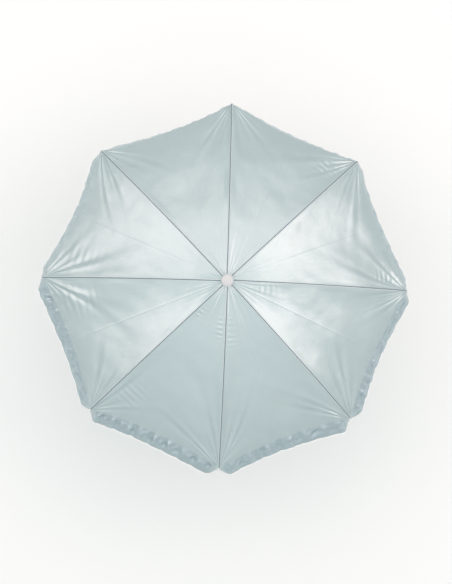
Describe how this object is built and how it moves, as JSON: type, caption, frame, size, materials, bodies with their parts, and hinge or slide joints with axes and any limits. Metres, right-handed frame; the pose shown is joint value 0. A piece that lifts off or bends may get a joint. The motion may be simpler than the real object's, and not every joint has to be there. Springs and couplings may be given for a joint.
{
  "type": "umbrella reflector",
  "caption": "Folding umbrella reflector: pale silver canopy on steel ribs with a piped valance, a white cap and a slim shaft for a light-stand clamp.",
  "frame": {"origin": "centre of the shaft's lower end, on its axis", "axes": "+Z along the shaft towards the cap, +X along the first rib"},
  "size_m": [1.0208, 1.0208, 0.7468],
  "materials": {
    "silver_fabric": "satin metallised cloth",
    "white_plastic": "moulded white plastic",
    "grey_plastic": "moulded grey plastic",
    "black_plastic": "moulded black plastic",
    "chromed_tube": "bright plated tube",
    "steel": "plain steel wire",
    "black_steel": "black lacquered steel"
  },
  "bodies": {
    "shaft": {"shaft_tube": "chromed_tube", "shaft_pins": "steel", "shaft_end_plug": "black_plastic", "crown": "grey_plastic", "crown_ring": "steel", "cap": "white_plastic", "cap_washer": "white_plastic"},
    "runner": {"runner_sleeve": "grey_plastic", "runner_ring": "steel"},
    "top_catch": {"top_catch": "steel"},
    "bottom_catch": {"bottom_catch": "steel"},
    "rib_1": {"rib_1": "black_steel", "rib_joint_1": "black_steel", "rib_tip_1": "white_plastic", "canopy_sector_1": "silver_fabric", "valance_1": "silver_fabric"},
    "stretcher_1": {"stretcher_1": "black_steel"},
    "rib_2": {"rib_2": "black_steel", "rib_joint_2": "black_steel", "rib_tip_2": "white_plastic", "canopy_sector_2": "silver_fabric", "valance_2": "silver_fabric"},
    "stretcher_2": {"stretcher_2": "black_steel"},
    "rib_3": {"rib_3": "black_steel", "rib_joint_3": "black_steel", "rib_tip_3": "white_plastic", "canopy_sector_3": "silver_fabric", "valance_3": "silver_fabric"},
    "stretcher_3": {"stretcher_3": "black_steel"},
    "rib_4": {"rib_4": "black_steel", "rib_joint_4": "black_steel", "rib_tip_4": "white_plastic", "canopy_sector_4": "silver_fabric", "valance_4": "silver_fabric"},
    "stretcher_4": {"stretcher_4": "black_steel"},
    "rib_5": {"rib_5": "black_steel", "rib_joint_5": "black_steel", "rib_tip_5": "white_plastic", "canopy_sector_5": "silver_fabric", "valance_5": "silver_fabric"},
    "stretcher_5": {"stretcher_5": "black_steel"},
    "rib_6": {"rib_6": "black_steel", "rib_joint_6": "black_steel", "rib_tip_6": "white_plastic", "canopy_sector_6": "silver_fabric", "valance_6": "silver_fabric"},
    "stretcher_6": {"stretcher_6": "black_steel"},
    "rib_7": {"rib_7": "black_steel", "rib_joint_7": "black_steel", "rib_tip_7": "white_plastic", "canopy_sector_7": "silver_fabric", "valance_7": "silver_fabric"},
    "stretcher_7": {"stretcher_7": "black_steel"},
    "rib_8": {"rib_8": "black_steel", "rib_joint_8": "black_steel", "rib_tip_8": "white_plastic", "canopy_sector_8": "silver_fabric", "valance_8": "silver_fabric"},
    "stretcher_8": {"stretcher_8": "black_steel"}
  },
  "joints": [
    {"name": "rib_1_fold", "type": "hinge", "parent": "shaft", "child": "rib_1", "pos_m": [0.012, 0, 0.73], "axis": [0, 1, 0], "range_deg": [0, 66], "deforming": ["canopy_sector_1", "valance_1", "canopy_sector_2", "valance_2", "canopy_sector_3", "valance_3", "canopy_sector_4", "valance_4", "canopy_sector_5", "valance_5", "canopy_sector_6", "valance_6", "canopy_sector_7", "valance_7", "canopy_sector_8", "valance_8", "top_catch", "bottom_catch"]},
    {"name": "stretcher_1_swing", "type": "hinge", "parent": "rib_1", "child": "stretcher_1", "pos_m": [0.26843, 0, 0.67623], "axis": [0, 1, 0], "range_deg": [-132, 0]},
    {"name": "rib_2_fold", "type": "hinge", "parent": "shaft", "child": "rib_2", "pos_m": [0.00848, 0.00848, 0.73], "axis": [-0.7071, 0.7071, 0], "range_deg": [0, 66]},
    {"name": "stretcher_2_swing", "type": "hinge", "parent": "rib_2", "child": "stretcher_2", "pos_m": [0.18981, 0.18981, 0.67623], "axis": [-0.7071, 0.7071, 0], "range_deg": [-132, 0]},
    {"name": "rib_3_fold", "type": "hinge", "parent": "shaft", "child": "rib_3", "pos_m": [0, 0.012, 0.73], "axis": [-1, 0, 0], "range_deg": [0, 66]},
    {"name": "stretcher_3_swing", "type": "hinge", "parent": "rib_3", "child": "stretcher_3", "pos_m": [0, 0.26843, 0.67623], "axis": [-1, 0, 0], "range_deg": [-132, 0]},
    {"name": "rib_4_fold", "type": "hinge", "parent": "shaft", "child": "rib_4", "pos_m": [-0.00848, 0.00848, 0.73], "axis": [-0.7071, -0.7071, 0], "range_deg": [0, 66]},
    {"name": "stretcher_4_swing", "type": "hinge", "parent": "rib_4", "child": "stretcher_4", "pos_m": [-0.18981, 0.18981, 0.67623], "axis": [-0.7071, -0.7071, 0], "range_deg": [-132, 0]},
    {"name": "rib_5_fold", "type": "hinge", "parent": "shaft", "child": "rib_5", "pos_m": [-0.012, 0, 0.73], "axis": [0, -1, 0], "range_deg": [0, 66]},
    {"name": "stretcher_5_swing", "type": "hinge", "parent": "rib_5", "child": "stretcher_5", "pos_m": [-0.26843, 0, 0.67623], "axis": [0, -1, 0], "range_deg": [-132, 0]},
    {"name": "rib_6_fold", "type": "hinge", "parent": "shaft", "child": "rib_6", "pos_m": [-0.00848, -0.00848, 0.73], "axis": [0.7071, -0.7071, 0], "range_deg": [0, 66]},
    {"name": "stretcher_6_swing", "type": "hinge", "parent": "rib_6", "child": "stretcher_6", "pos_m": [-0.18981, -0.18981, 0.67623], "axis": [0.7071, -0.7071, 0], "range_deg": [-132, 0]},
    {"name": "rib_7_fold", "type": "hinge", "parent": "shaft", "child": "rib_7", "pos_m": [0, -0.012, 0.73], "axis": [1, 0, 0], "range_deg": [0, 66]},
    {"name": "stretcher_7_swing", "type": "hinge", "parent": "rib_7", "child": "stretcher_7", "pos_m": [0, -0.26843, 0.67623], "axis": [1, 0, 0], "range_deg": [-132, 0]},
    {"name": "rib_8_fold", "type": "hinge", "parent": "shaft", "child": "rib_8", "pos_m": [0.00848, -0.00848, 0.73], "axis": [0.7071, 0.7071, 0], "range_deg": [0, 66]},
    {"name": "stretcher_8_swing", "type": "hinge", "parent": "rib_8", "child": "stretcher_8", "pos_m": [0.18981, -0.18981, 0.67623], "axis": [0.7071, 0.7071, 0], "range_deg": [-132, 0]},
    {"name": "runner_swing", "type": "hinge", "parent": "stretcher_1", "child": "runner", "pos_m": [0.012, 0, 0.62247], "axis": [0, 1, 0], "range_deg": [0, 66]},
    {"name": "top_catch_press", "type": "hinge", "parent": "shaft", "child": "top_catch", "pos_m": [0.0002, 0, 0.54017], "axis": [0, -1, 0], "range_deg": [0, 6.4], "stiffness_Nm_per_rad": 0.1, "springref_deg": -5.73},
    {"name": "bottom_catch_press", "type": "hinge", "parent": "shaft", "child": "bottom_catch", "pos_m": [0.0002, 0, 0.19025], "axis": [0, 1, 0], "range_deg": [0, 6.4], "stiffness_Nm_per_rad": 0.1, "springref_deg": -5.73}
  ],
  "couplings": [
    {"joint": "stretcher_1_swing", "follows": "rib_1_fold", "ratio": -2},
    {"joint": "rib_2_fold", "follows": "rib_1_fold", "ratio": 1},
    {"joint": "stretcher_2_swing", "follows": "rib_1_fold", "ratio": -2},
    {"joint": "rib_3_fold", "follows": "rib_1_fold", "ratio": 1},
    {"joint": "stretcher_3_swing", "follows": "rib_1_fold", "ratio": -2},
    {"joint": "rib_4_fold", "follows": "rib_1_fold", "ratio": 1},
    {"joint": "stretcher_4_swing", "follows": "rib_1_fold", "ratio": -2},
    {"joint": "rib_5_fold", "follows": "rib_1_fold", "ratio": 1},
    {"joint": "stretcher_5_swing", "follows": "rib_1_fold", "ratio": -2},
    {"joint": "rib_6_fold", "follows": "rib_1_fold", "ratio": 1},
    {"joint": "stretcher_6_swing", "follows": "rib_1_fold", "ratio": -2},
    {"joint": "rib_7_fold", "follows": "rib_1_fold", "ratio": 1},
    {"joint": "stretcher_7_swing", "follows": "rib_1_fold", "ratio": -2},
    {"joint": "rib_8_fold", "follows": "rib_1_fold", "ratio": 1},
    {"joint": "stretcher_8_swing", "follows": "rib_1_fold", "ratio": -2},
    {"joint": "runner_swing", "follows": "rib_1_fold", "ratio": 1}
  ]
}
